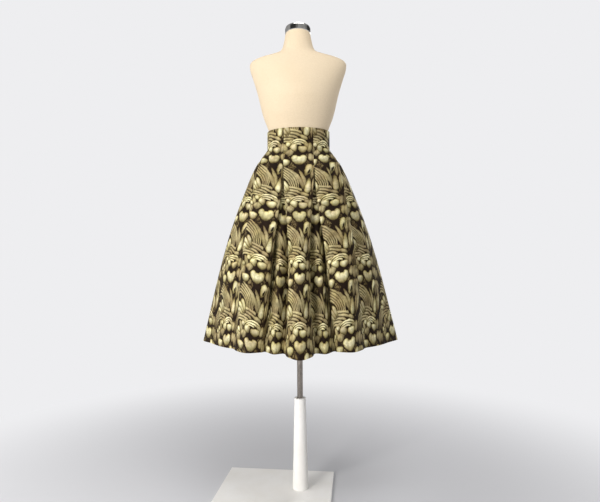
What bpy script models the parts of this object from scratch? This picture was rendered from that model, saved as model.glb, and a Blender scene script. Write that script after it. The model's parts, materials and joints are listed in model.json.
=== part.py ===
"""A high-waisted pleated brocade skirt worn by a dress form on a stand.

The skirt's cloth is one thin wall, folded into six inverted box pleats. Each height is a closed
section through the cloth. The sections come from FOLDS: a row for each fold or crest of a quarter of
the skirt, with its place at four heights. The front quarter is mirrored to the left and to the back.
Metres, +Z up, the skirt's front faces -Y, the origin is on the pole's axis at the floor.
"""

import math

import bmesh
import bpy
import numpy as np

CM = 0.01
MM = 0.001

# Cloth wall and the folded layers of the stitched pleats
WALL = 1.4 * MM
LAYER_PITCH = 1.8 * MM
SEAM_GAP = 0.3 * MM

# Waist, measured outside the cloth, and the ease at the fold tips along the waist
WAIST_HALF_WIDTH = 11.8 * CM
WAIST_HALF_DEPTH = 9.25 * CM
TIP_EASE = 1.0 * MM
SIDE_TIP_EASE = 0.9 * MM
CENTRE_TIP_EASE = 1.2 * MM

# Heights of the skirt's edges: each line is higher or lower at the side than at the front
TOP_SIDE = 1.354
TOP_FRONT_RISE = -0.003
RELEASE_FRONT = 1.260
RELEASE_SIDE_RISE = 0.028
HEM = 0.568
HEM_CENTRE_DROP = 0.009
HEM_CENTRE_SPREAD = 4.2 * CM

# How far down the free cloth each column of FOLDS lies, 0 at the stitching's end and 1 at the hem
LEVELS = {"waist": 0.0, "upper": 0.075, "hip": 0.2, "mid": 0.56, "hem": 1.0}
# The back is a little flatter than the front at each of these levels
BACK_DEPTH = {"waist": 1.0, "upper": 1.0, "hip": 0.98, "mid": 0.95, "hem": 0.94}

# A quarter of the skirt from the centre front to the side seam, in centimetres.
# cloth: the way along the cloth at the waist. layer: 0 the panel, 1 turned under, 2 the underlay,
# from this row to the next. steps: faces from this row to the next. x is sideways, y to the front.
FOLDS = [
    # name,           cloth, layer, steps, upper x, y,      hip x, y,      mid x, y,       hem x, y
    ("centre",          0.0, 0, 4,     (0.00, 11.05),  (0.0, 14.1),   (0.0, 23.1),   (0.0, 33.8)),
    ("edge",            5.5, 1, 4,     (5.46, 10.41),  (5.1, 13.4),   (3.5, 20.4),   (3.7, 31.0)),
    ("inner_fold",     11.0, 2, 4,     (0.35, 10.45),  (1.0, 11.6),   (2.9, 15.2),   (5.0, 26.2)),
    ("underlay",       16.5, 2, 4,     (5.55, 9.75),   (5.7, 11.9),   (6.6, 18.2),   (8.3, 28.3)),
    ("inner_fold_2",   22.0, 1, 4,     (10.50, 8.25),  (10.3, 10.2),  (9.4, 14.2),   (11.2, 23.9)),
    ("edge_2",         27.5, 0, 4,     (5.67, 10.36),  (6.1, 13.1),   (9.5, 19.2),   (12.9, 25.0)),
    ("panel",          33.0, 0, 4,     (10.60, 8.90),  (11.6, 11.7),  (14.8, 19.6),  (17.5, 26.0)),
    ("side_edge",      38.5, 1, 2,     (14.40, 5.10),  (16.2, 8.8),   (19.3, 16.0),  (21.2, 21.6)),
    ("side_valley",    40.3, 1, 2,     (12.80, 6.05),  (14.0, 8.2),   (19.4, 12.5),  (22.9, 17.4)),
    ("side_turn",      41.8, 1, 2,     (11.40, 7.10),  (13.4, 7.5),   (21.6, 11.2),  (25.4, 15.4)),
    ("side_crest",     44.0, 2, 3,     (12.90, 5.10),  (16.2, 5.9),   (25.0, 8.6),   (28.9, 11.6)),
    ("side_dip",       46.6, 2, 3,     (15.00, 2.80),  (19.0, 3.2),   (27.6, 4.4),   (32.6, 5.8)),
    ("side_seam",      49.5, 2, 0,     (16.10, 0.00),  (20.2, 0.0),   (28.9, -0.4),  (37.0, -1.0)),
]
CLOTH_COLUMN, LAYER_COLUMN, STEPS_COLUMN, FIRST_LEVEL_COLUMN = 1, 2, 3, 4
# Where a fold's two edge points lie along the cloth, either side of the fold
FOLD_ROUND = 0.35
# The side underlay sets off slowly from under its panel: where along the cloth, and how slowly
SIDE_LAG_CLOTH = (38.5, 42.5)
SIDE_LAG = 0.2
# The layers' spacing at the waist fades out between these places down the free cloth
LAYER_FADE = (0.15, 0.45)
# Rows of faces down the skirt: through the stitched waist, then down the free cloth
WAIST_ROWS = [0.0, 0.5]
FREE_ROWS = [0.0, 0.025, 0.05, 0.075, 0.14, 0.2, 0.3, 0.43, 0.56, 0.7, 0.85, 1.0]
# Slow unevenness round the skirt: waves round it, size as a share of the radius, phase
UNEVEN = [(3, 0.006, 0.6), (5, 0.005, 2.1)]
# Points along a quarter of the waist's ellipse when its length is measured
ARC_SAMPLES = 2001
# A mitred corner of the wall reaches no further than its thickness divided by this
MITRE_LIMIT = 0.6
# Faces that meet at more than this angle keep a sharp edge
SHARP_ANGLE = math.radians(40)

# The dress form: height, half width, depth to the front, depth to the back, in centimetres
FORM_SECTIONS = [
    (99.0, 14.6, 9.5, 9.6),
    (104.0, 15.4, 10.0, 10.1),
    (112.0, 15.8, 10.3, 10.4),
    (117.0, 15.0, 9.9, 10.0),
    (122.0, 12.7, 9.1, 9.1),
    (126.0, 11.2, 8.55, 8.55),
    (131.0, 11.2, 8.6, 8.6),
    (135.6, 11.24, 8.64, 8.64),
    (138.0, 11.9, 9.7, 8.9),
    (140.5, 12.9, 11.0, 9.2),
    (143.5, 13.8, 12.0, 9.5),
    (146.5, 14.5, 12.4, 9.7),
    (149.5, 15.2, 11.9, 9.9),
    (153.0, 16.2, 10.6, 9.8),
    (156.5, 17.3, 9.2, 9.3),
    (159.0, 18.1, 8.2, 8.7),
    (161.0, 18.3, 7.3, 7.9),
    (162.2, 17.6, 6.8, 7.3),
    (163.2, 15.4, 6.5, 6.9),
    (163.9, 12.5, 6.2, 6.5),
    (164.6, 9.6, 6.0, 6.2),
    (165.5, 7.4, 5.8, 5.9),
    (167.3, 6.0, 5.5, 5.5),
    (170.2, 5.2, 5.0, 5.0),
    (172.9, 4.7, 4.7, 4.7),
]
FORM_SIDES = 40
SOCKET_DEPTH = 7.0 * CM

# The neck cap: radius and height of its turned outline, in centimetres
CAP_PROFILE = [
    (0.0, 172.93),
    (4.7, 172.93),
    (4.8, 173.1),
    (4.8, 174.8),
    (4.6, 175.3),
    (3.6, 175.8),
    (0.0, 176.1),
]
CAP_SIDES = 40

# The stand
PLATE_SIDE = 0.427
PLATE_THICKNESS = 8 * MM
PLATE_CENTRE = (-0.100, -0.050)
PLATE_TURN = math.radians(-6.5)
PLATE_BEVEL = 2 * MM
TUBE_TOP = 0.350
TUBE_TOP_RADIUS = 21.5 * MM
TUBE_FOOT_RADIUS = 30.0 * MM
TUBE_FLOOR = 4 * MM
TUBE_GROOVES = [0.130, 0.145]
GROOVE_DEPTH = 0.6 * MM
GROOVE_HALF_WIDTH = 0.8 * MM
ROD_RADIUS = 11.0 * MM
ROD_BOTTOM = 0.215
ROUND_SIDES = 32
SLIDING_GAP = 0.4 * MM
REST_GAP = 0.3 * MM

# The zip's slider and its pull tab, at the top of the centre back seam
SLIDER_SIZE = (5.0 * MM, 2.4 * MM, 7.5 * MM)
SLIDER_BELOW_TOP = 6.0 * MM
SLIDER_BELOW_PIN = 1.5 * MM
LUG_SIZE = (0.9 * MM, 3.0 * MM, 2.6 * MM)
LUG_INSIDE = 1.5 * MM
LUG_SUNK = 0.2 * MM
PIN_RADIUS = 0.5 * MM
PIN_SIDES = 12
PIN_OFF_SLIDER = 2.0 * MM
BARREL_SIZE = (2.4 * MM, 2.2 * MM, 2.2 * MM)
BARREL_BORE_RADIUS = 0.85 * MM
# The tab's outline in millimetres: how far below the pin, and half its width there
TAB_HALF_WIDTHS = [(0.0, 1.0), (5.0, 1.1), (10.0, 2.0), (14.5, 3.0), (17.0, 3.2), (19.0, 2.5), (20.0, 1.0)]
TAB_THICKNESS = 1.0 * MM

# Colours: red, green, blue, then roughness and how metallic
FINISHES = {
    "brocade": ((0.24, 0.20, 0.12), 0.6, 0.0),
    "linen": ((0.80, 0.71, 0.56), 0.85, 0.0),
    "steel": ((0.62, 0.60, 0.57), 0.25, 1.0),
    "white_paint": ((0.87, 0.85, 0.82), 0.4, 0.0),
    "zip_metal": ((0.30, 0.26, 0.18), 0.4, 1.0),
}


def clear_scene():
    for thing in list(bpy.data.objects):
        bpy.data.objects.remove(thing, do_unlink=True)


def material(name):
    colour, roughness, metallic = FINISHES[name]
    found = bpy.data.materials.get(name)
    if found:
        return found
    made = bpy.data.materials.new(name)
    made.use_nodes = True
    shader = made.node_tree.nodes["Principled BSDF"]
    shader.inputs["Base Color"].default_value = (*colour, 1.0)
    shader.inputs["Roughness"].default_value = roughness
    shader.inputs["Metallic"].default_value = metallic
    return made


def add_object(name, points, faces, finish, smooth=True):
    """A mesh object from points and faces, with its faces turned outwards."""
    mesh = bpy.data.meshes.new(name)
    mesh.from_pydata([tuple(float(value) for value in point) for point in points], [], faces)
    work = bmesh.new()
    work.from_mesh(mesh)
    bmesh.ops.recalc_face_normals(work, faces=work.faces)
    work.to_mesh(mesh)
    work.free()
    made = bpy.data.objects.new(name, mesh)
    bpy.context.collection.objects.link(made)
    mesh.materials.append(material(finish))
    if smooth:
        mesh.shade_smooth()
        mesh.set_sharp_from_angle(angle=SHARP_ANGLE)
    return made


# The skirt's sections


def ellipse_by_arc(half_width, half_depth):
    """Arc length from the front of an ellipse and the angle there, over a quarter of it."""
    angle = np.linspace(0.0, math.pi / 2, ARC_SAMPLES)
    x = half_width * np.sin(angle)
    y = half_depth * np.cos(angle)
    arc = np.concatenate([[0.0], np.cumsum(np.hypot(np.diff(x), np.diff(y)))])
    return arc, angle


def quarter_arcs(quarter):
    """The way along the waist's ellipse of each fold, where the cloth runs to and fro."""
    edge = FOLDS[1][CLOTH_COLUMN] * CM
    panel = (edge + quarter) / 2
    return {
        "centre": 0.0,
        "edge": edge - TIP_EASE,
        "inner_fold": CENTRE_TIP_EASE,
        "underlay": edge,
        "inner_fold_2": panel - TIP_EASE,
        "edge_2": edge + TIP_EASE,
        "panel": panel,
        "side_edge": quarter - SIDE_TIP_EASE,
        "side_crest": panel + TIP_EASE,
        "side_seam": quarter,
    }


def waist_arcs():
    """Each row of FOLDS with its way along the waist, the rows between folds spread evenly."""
    arc, angle = ellipse_by_arc(WAIST_HALF_WIDTH - WALL / 2, WAIST_HALF_DEPTH - WALL / 2)
    named = quarter_arcs(arc[-1])
    known = [(row[CLOTH_COLUMN], named[row[0]]) for row in FOLDS if row[0] in named]
    cloth = [pair[0] for pair in known]
    way = [pair[1] for pair in known]
    return [float(np.interp(row[CLOTH_COLUMN], cloth, way)) for row in FOLDS], arc, angle


def level_keys(column, level):
    """The fold points round the whole skirt at one of the lower levels."""
    front = np.array([row[column] for row in FOLDS]) * CM * (1.0, -1.0)
    back = front * (1.0, -BACK_DEPTH[level])
    to_left = np.array([-1.0, 1.0])
    return np.concatenate([front, back[-2::-1], back[1:-1] * to_left, front[:0:-1] * to_left])


def way_round(quarter):
    """The way along a quarter's keys carried on round the whole ring, back to its start."""
    quarter = np.array(quarter)
    total = quarter[-1]
    back = quarter[-2::-1]
    return np.concatenate([quarter, 2 * total - back, 2 * total + quarter[1:], 4 * total - back])


def ring_stations():
    """The samples round the ring: (key interval, place along it, layer) and the ring's key cloth."""
    cloth = way_round([row[CLOTH_COLUMN] for row in FOLDS])
    layers = [row[LAYER_COLUMN] for row in FOLDS[:-1]]
    steps = [row[STEPS_COLUMN] for row in FOLDS[:-1]]
    ring_layers = (layers + layers[::-1]) * 2
    ring_steps = (steps + steps[::-1]) * 2
    stations = []
    for interval, (layer, count) in enumerate(zip(ring_layers, ring_steps)):
        before = ring_layers[interval - 1]
        folded = before != layer
        if folded:
            stations.append((interval, -FOLD_ROUND, before))
        stations.append((interval, FOLD_ROUND if folded else 0.0, layer))
        length = cloth[interval + 1] - cloth[interval]
        stations += [(interval, length * step / count, layer) for step in range(1, count)]
    return stations, cloth


def spline_ring(keys, cloth, stations):
    """A smooth closed curve through the keys, read at the stations."""
    count = len(keys)
    total = cloth[-1]
    place = cloth[:-1]
    after = np.roll(place, -1)
    after[-1] += total
    before = np.roll(place, 1)
    before[0] -= total
    tangent = (np.roll(keys, -1, axis=0) - np.roll(keys, 1, axis=0)) / (after - before)[:, None]
    points = []
    for interval, offset, _ in stations:
        start = (interval - 1) % count if offset < 0 else interval
        end = (start + 1) % count
        span = cloth[start + 1] - cloth[start]
        s = (offset + span) / span if offset < 0 else offset / span
        points.append(
            (2 * s**3 - 3 * s**2 + 1) * keys[start]
            + (s**3 - 2 * s**2 + s) * span * tangent[start]
            + (3 * s**2 - 2 * s**3) * keys[end]
            + (s**3 - s**2) * span * tangent[end]
        )
    return np.array(points)


def waist_ring(stations, cloth):
    """The waist's points, with no layers yet, and the angle round the ellipse of each."""
    way, arc, angle = waist_arcs()
    quarter = arc[-1]
    ring_way = way_round(way)
    points = []
    turns = []
    for interval, offset, _ in stations:
        span = cloth[interval + 1] - cloth[interval]
        share = 0.0 if abs(offset) == FOLD_ROUND else offset / span
        here = ring_way[interval] * (1 - share) + ring_way[interval + 1] * share
        turn = here / quarter
        side = int(turn) % 4
        within = here - int(turn) * quarter
        read = within if side % 2 == 0 else quarter - within
        theta = float(np.interp(read, arc, angle))
        x = (WAIST_HALF_WIDTH - WALL / 2) * math.sin(theta)
        y = (WAIST_HALF_DEPTH - WALL / 2) * math.cos(theta)
        sign_x = 1.0 if side < 2 else -1.0
        sign_y = -1.0 if side in (0, 3) else 1.0
        points.append((sign_x * x, sign_y * y))
        turns.append(theta)
    return np.array(points), np.array(turns)


def side_lag(stations, cloth):
    """How fast each station sets off from the waist, 1 on the panels and less on the side underlay."""
    total = FOLDS[-1][CLOTH_COLUMN]
    place = np.array([cloth[interval] + offset for interval, offset, _ in stations]) % (2 * total)
    folded = np.minimum(place, 2 * total - place)
    return np.interp(folded, SIDE_LAG_CLOTH, (1.0, SIDE_LAG))[:, None]


def smooth_between(values, places, at, lag):
    """Monotone cubic through values at places, so that no fold overshoots between levels."""
    places = np.array(places)
    spans = np.diff(places)
    slopes = np.diff(values, axis=0) / spans[:, None, None]
    tangents = np.zeros_like(values)
    tangents[0] = slopes[0] * lag
    tangents[-1] = slopes[-1]
    agree = slopes[:-1] * slopes[1:] > 0
    joined = np.where(agree, slopes[:-1] + slopes[1:], 1.0)
    tangents[1:-1] = np.where(agree, 2 * slopes[:-1] * slopes[1:] / joined, 0.0)
    index = min(int(np.searchsorted(places, at, side="right")) - 1, len(spans) - 1)
    span = spans[index]
    s = (at - places[index]) / span
    return (
        (2 * s**3 - 3 * s**2 + 1) * values[index]
        + (s**3 - 2 * s**2 + s) * span * tangents[index]
        + (3 * s**2 - 2 * s**3) * values[index + 1]
        + (s**3 - s**2) * span * tangents[index + 1]
    )


def fade(value, span):
    s = min(max((value - span[0]) / (span[1] - span[0]), 0.0), 1.0)
    return 1.0 - s * s * (3 - 2 * s)


def uneven(points, share):
    """Slow waves in the radius, growing down the skirt."""
    angle = np.arctan2(points[:, 1], points[:, 0])
    factor = 1.0 + share * sum(size * np.sin(waves * angle + phase) for waves, size, phase in UNEVEN)
    return points * factor[:, None]


def wall_faces(points):
    """The outer and inner lines of a closed section: the middle line moved out and in, mitred."""
    ahead = np.roll(points, -1, axis=0) - points
    ahead /= np.linalg.norm(ahead, axis=1)[:, None]
    behind = np.roll(ahead, 1, axis=0)
    normal_ahead = np.column_stack([ahead[:, 1], -ahead[:, 0]])
    normal_behind = np.column_stack([behind[:, 1], -behind[:, 0]])
    normal = normal_ahead + normal_behind
    normal /= np.maximum(np.linalg.norm(normal, axis=1), 1e-9)[:, None]
    mitre = 1.0 / np.maximum((normal * normal_ahead).sum(axis=1), MITRE_LIMIT)
    shift = normal * (mitre * WALL / 2)[:, None]
    return points + shift, points - shift


def skirt_rows():
    """Every row of the skirt, top to hem: outer points, inner points and the stations."""
    stations, cloth = ring_stations()
    waist, turns = waist_ring(stations, cloth)
    levels = [waist]
    for column, level in enumerate(list(LEVELS)[1:], start=FIRST_LEVEL_COLUMN):
        levels.append(spline_ring(level_keys(column, level), cloth, stations))
    levels = np.array(levels)
    layer = np.array([station[2] for station in stations])
    lag = side_lag(stations, cloth)
    inward = -waist / np.array([WAIST_HALF_WIDTH**2, WAIST_HALF_DEPTH**2])
    inward /= np.linalg.norm(inward, axis=1)[:, None]
    side = np.sin(turns) ** 2
    release = RELEASE_FRONT + RELEASE_SIDE_RISE * side
    top = TOP_SIDE + TOP_FRONT_RISE * (1 - side)
    rows = []
    stitched = waist + inward * (layer * LAYER_PITCH)[:, None]
    for share in WAIST_ROWS:
        height = top + (release - top) * share
        rows.append((stitched, height))
    for share in FREE_ROWS:
        points = smooth_between(levels, list(LEVELS.values()), share, lag)
        points = points + inward * (layer * LAYER_PITCH * fade(share, LAYER_FADE))[:, None]
        points = uneven(points, share)
        centre_front = np.exp(-((points[:, 0] / HEM_CENTRE_SPREAD) ** 2)) * (points[:, 1] < 0)
        hem = HEM - HEM_CENTRE_DROP * centre_front
        rows.append((points, release + (hem - release) * share))
    outer = []
    inner = []
    for points, height in rows:
        out_line, in_line = wall_faces(points)
        outer.append(np.column_stack([out_line, height]))
        inner.append(np.column_stack([in_line, height]))
    return np.array(outer), np.array(inner), stations


def station_index(stations, interval):
    return next(index for index, station in enumerate(stations) if station[0] == interval)


def trimmed(lines, indices):
    """The stretch of the ring at indices, its two ends drawn in by half a seam's gap."""
    piece = lines[:, indices].copy()
    for end, beside in ((0, 1), (-1, -2)):
        along = piece[:, beside] - piece[:, end]
        along[:, 2] = 0.0
        along /= np.linalg.norm(along, axis=1)[:, None]
        piece[:, end] += along * (SEAM_GAP / 2)
    return piece


def cloth_piece(name, outer, inner, indices):
    """One piece of the skirt: its outer and inner faces, closed along all four edges."""
    out_part = trimmed(outer, indices)
    in_part = trimmed(inner, indices)
    rows, columns = out_part.shape[:2]
    inside = rows * columns
    points = np.concatenate([out_part.reshape(-1, 3), in_part.reshape(-1, 3)])
    faces = []

    def quad(a, b, c, d):
        faces.append((a, b, c))
        faces.append((a, c, d))

    for row in range(rows - 1):
        for column in range(columns - 1):
            a = row * columns + column
            b = a + columns
            quad(a, b, b + 1, a + 1)
            quad(inside + a, inside + a + 1, inside + b + 1, inside + b)
    for column in range(columns - 1):
        low = (rows - 1) * columns + column
        quad(column, column + 1, inside + column + 1, inside + column)
        quad(low, inside + low, inside + low + 1, low + 1)
    for row in range(rows - 1):
        a = row * columns
        b = a + columns - 1
        quad(a, inside + a, inside + a + columns, a + columns)
        quad(b, b + columns, inside + b + columns, inside + b)
    return add_object(name, points, faces, "brocade")


def make_skirt():
    outer, inner, stations = skirt_rows()
    intervals = len(FOLDS) - 1
    right_side = station_index(stations, intervals)
    centre_back = station_index(stations, 2 * intervals)
    left_side = station_index(stations, 3 * intervals)
    count = len(stations)
    cloth_piece("skirt_front", outer, inner, list(range(left_side, count)) + list(range(right_side + 1)))
    cloth_piece("skirt_back_right", outer, inner, list(range(right_side, centre_back + 1)))
    cloth_piece("skirt_back_left", outer, inner, list(range(centre_back, left_side + 1)))


# The dress form and its stand


def turned(name, profile, sides, finish):
    """A closed solid turned from (radius, height) points that start and end on the axis."""
    points = [(0.0, 0.0, profile[0][1])]
    for radius, height in profile[1:-1]:
        for side in range(sides):
            angle = 2 * math.pi * side / sides
            points.append((radius * math.cos(angle), radius * math.sin(angle), height))
    points.append((0.0, 0.0, profile[-1][1]))
    rings = len(profile) - 2
    faces = []
    for side in range(sides):
        beside = (side + 1) % sides
        faces.append((0, 1 + beside, 1 + side))
        for ring in range(rings - 1):
            a = 1 + ring * sides
            b = a + sides
            faces.append((a + side, a + beside, b + beside, b + side))
        last = 1 + (rings - 1) * sides
        faces.append((last + side, last + beside, len(points) - 1))
    return add_object(name, points, faces, finish)


def form_ring(half_width, front, back, height):
    """A section of the dress form, an ellipse with its own depth to the front and the back."""
    points = []
    for side in range(FORM_SIDES):
        angle = 2 * math.pi * side / FORM_SIDES
        depth = back if math.sin(angle) > 0 else front
        points.append((half_width * math.cos(angle), depth * math.sin(angle), height))
    return points


def make_dress_form():
    """The torso, with a socket up its middle that turns on the rod."""
    bore = ROD_RADIUS + SLIDING_GAP
    low = FORM_SECTIONS[0][0] * CM
    high = FORM_SECTIONS[-1][0] * CM
    rings = [form_ring(bore, bore, bore, low + SOCKET_DEPTH), form_ring(bore, bore, bore, low)]
    rings += [form_ring(w * CM, f * CM, b * CM, z * CM) for z, w, f, b in FORM_SECTIONS]
    points = [(0.0, 0.0, low + SOCKET_DEPTH)]
    for ring in rings:
        points += ring
    points.append((0.0, 0.0, high))
    faces = []
    for side in range(FORM_SIDES):
        beside = (side + 1) % FORM_SIDES
        faces.append((0, 1 + side, 1 + beside))
        for ring in range(len(rings) - 1):
            a = 1 + ring * FORM_SIDES
            b = a + FORM_SIDES
            faces.append((a + side, b + side, b + beside))
            faces.append((a + side, b + beside, a + beside))
        last = 1 + (len(rings) - 1) * FORM_SIDES
        faces.append((last + side, len(points) - 1, last + beside))
    add_object("dress_form", points, faces, "linen")


def make_neck_cap():
    turned("neck_cap", [(r * CM, z * CM) for r, z in CAP_PROFILE], CAP_SIDES, "steel")


def make_rod():
    top = FORM_SECTIONS[0][0] * CM + SOCKET_DEPTH - REST_GAP
    profile = [(0.0, ROD_BOTTOM), (ROD_RADIUS, ROD_BOTTOM), (ROD_RADIUS, top), (0.0, top)]
    turned("stand_rod", profile, ROUND_SIDES, "steel")


def make_tube():
    """The white foot tube, slightly tapered, with two fine turned grooves and a bore for the rod."""
    foot = PLATE_THICKNESS + REST_GAP
    slope = (TUBE_TOP_RADIUS - TUBE_FOOT_RADIUS) / (TUBE_TOP - foot)

    def outside(height):
        return TUBE_FOOT_RADIUS + slope * (height - foot)

    profile = [(0.0, foot), (TUBE_FOOT_RADIUS, foot)]
    for height in TUBE_GROOVES:
        profile.append((outside(height - GROOVE_HALF_WIDTH), height - GROOVE_HALF_WIDTH))
        profile.append((outside(height) - GROOVE_DEPTH, height))
        profile.append((outside(height + GROOVE_HALF_WIDTH), height + GROOVE_HALF_WIDTH))
    bore = (ROD_RADIUS + SLIDING_GAP) / math.cos(math.pi / ROUND_SIDES)
    floor = foot + TUBE_FLOOR
    profile += [(TUBE_TOP_RADIUS, TUBE_TOP), (bore, TUBE_TOP), (bore, floor), (0.0, floor)]
    turned("stand_tube", profile, ROUND_SIDES, "white_paint")


def make_plate():
    mesh = bpy.data.meshes.new("base_plate")
    work = bmesh.new()
    bmesh.ops.create_cube(work, size=1.0)
    bmesh.ops.scale(work, vec=(PLATE_SIDE, PLATE_SIDE, PLATE_THICKNESS), verts=work.verts)
    bmesh.ops.bevel(work, geom=work.edges[:], offset=PLATE_BEVEL, segments=2, profile=0.5, affect="EDGES")
    work.to_mesh(mesh)
    work.free()
    plate = bpy.data.objects.new("base_plate", mesh)
    bpy.context.collection.objects.link(plate)
    mesh.materials.append(material("white_paint"))
    mesh.shade_smooth()
    mesh.set_sharp_from_angle(angle=SHARP_ANGLE)
    plate.location = (*PLATE_CENTRE, PLATE_THICKNESS / 2)
    plate.rotation_euler = (0.0, 0.0, PLATE_TURN)


# The zip's slider and pull tab


def block(name, size, centre):
    """A rectangular block of the zip's metal."""
    mesh = bpy.data.meshes.new(name)
    work = bmesh.new()
    bmesh.ops.create_cube(work, size=1.0)
    bmesh.ops.scale(work, vec=size, verts=work.verts)
    bmesh.ops.translate(work, vec=centre, verts=work.verts)
    work.to_mesh(mesh)
    work.free()
    made = bpy.data.objects.new(name, mesh)
    bpy.context.collection.objects.link(made)
    mesh.materials.append(material("zip_metal"))
    return made


def cross_pin(name, radius, length, centre):
    """A round pin along X."""
    points = []
    for x in (-length / 2, length / 2):
        for side in range(PIN_SIDES):
            angle = 2 * math.pi * side / PIN_SIDES
            y = centre[1] + radius * math.cos(angle)
            z = centre[2] + radius * math.sin(angle)
            points.append((centre[0] + x, y, z))
    faces = [tuple(range(PIN_SIDES)), tuple(range(2 * PIN_SIDES - 1, PIN_SIDES - 1, -1))]
    for side in range(PIN_SIDES):
        beside = (side + 1) % PIN_SIDES
        faces.append((side, PIN_SIDES + side, PIN_SIDES + beside, beside))
    return add_object(name, points, faces, "zip_metal", smooth=False)


def combine(target, helper, operation):
    """Join or cut with a helper, which isn't a piece of its own."""
    modifier = target.modifiers.new(helper.name, "BOOLEAN")
    modifier.operation = operation
    modifier.object = helper
    helper.hide_render = True
    helper.display_type = "WIRE"


def pin_place():
    """The hinge line of the pull tab."""
    top = TOP_SIDE + TOP_FRONT_RISE - SLIDER_BELOW_TOP
    face = WAIST_HALF_DEPTH + REST_GAP + SLIDER_SIZE[1]
    return (0.0, face + PIN_OFF_SLIDER, top)


def make_slider():
    """The slider's body, with a lug at each side of the pull tab and a pin through both."""
    place = pin_place()
    face = place[1] - PIN_OFF_SLIDER
    centre = (0.0, face - SLIDER_SIZE[1] / 2, place[2] - SLIDER_BELOW_PIN)
    body = block("zip_slider", SLIDER_SIZE, centre)
    for sign in (-1, 1):
        lug_x = sign * (LUG_INSIDE + LUG_SIZE[0] / 2)
        lug_y = face + LUG_SIZE[1] / 2 - LUG_SUNK
        lug = block(f"slider_lug_{sign}", LUG_SIZE, (lug_x, lug_y, place[2]))
        combine(body, lug, "UNION")
    pin = cross_pin("slider_pin", PIN_RADIUS, 2 * LUG_INSIDE + LUG_SIZE[0], place)
    combine(body, pin, "UNION")


def make_tab():
    """The pull tab, hanging from a barrel round the slider's pin."""
    place = pin_place()
    outline = [(-half * MM, -down * MM) for down, half in TAB_HALF_WIDTHS]
    outline += [(half * MM, -down * MM) for down, half in reversed(TAB_HALF_WIDTHS)]
    count = len(outline)
    points = []
    for y in (-TAB_THICKNESS / 2, TAB_THICKNESS / 2):
        points += [(place[0] + x, place[1] + y, place[2] + z) for x, z in outline]
    faces = [tuple(range(count)), tuple(range(2 * count - 1, count - 1, -1))]
    for side in range(count):
        beside = (side + 1) % count
        faces.append((side, count + side, count + beside, beside))
    tab = add_object("zip_tab", points, faces, "zip_metal", smooth=False)
    barrel = block("tab_barrel", BARREL_SIZE, place)
    combine(tab, barrel, "UNION")
    bore = cross_pin("tab_bore", BARREL_BORE_RADIUS, 2 * BARREL_SIZE[0], place)
    combine(tab, bore, "DIFFERENCE")


def main():
    clear_scene()
    make_skirt()
    make_dress_form()
    make_neck_cap()
    make_rod()
    make_tube()
    make_plate()
    make_slider()
    make_tab()


main()
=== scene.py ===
"""The looks of a pleated brocade skirt on its dress form and stand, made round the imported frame."""

import json
import math

import bpy
import numpy as np
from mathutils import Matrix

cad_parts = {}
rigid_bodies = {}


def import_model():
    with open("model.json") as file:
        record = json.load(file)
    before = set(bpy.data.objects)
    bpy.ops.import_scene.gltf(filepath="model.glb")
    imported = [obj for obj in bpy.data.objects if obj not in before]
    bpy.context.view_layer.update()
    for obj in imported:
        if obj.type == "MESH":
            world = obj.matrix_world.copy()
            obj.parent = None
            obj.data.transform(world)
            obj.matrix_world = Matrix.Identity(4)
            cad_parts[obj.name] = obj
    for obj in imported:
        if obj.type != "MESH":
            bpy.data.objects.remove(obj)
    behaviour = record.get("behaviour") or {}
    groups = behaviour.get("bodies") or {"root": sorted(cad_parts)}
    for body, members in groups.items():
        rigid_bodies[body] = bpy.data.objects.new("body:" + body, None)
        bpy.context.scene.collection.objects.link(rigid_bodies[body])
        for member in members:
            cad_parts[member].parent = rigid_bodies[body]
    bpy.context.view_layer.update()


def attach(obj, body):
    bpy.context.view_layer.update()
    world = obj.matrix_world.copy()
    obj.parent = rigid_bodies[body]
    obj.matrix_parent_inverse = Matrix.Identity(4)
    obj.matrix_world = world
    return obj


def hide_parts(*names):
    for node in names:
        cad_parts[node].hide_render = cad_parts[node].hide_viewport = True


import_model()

CM = 0.01
MM = 0.001

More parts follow.
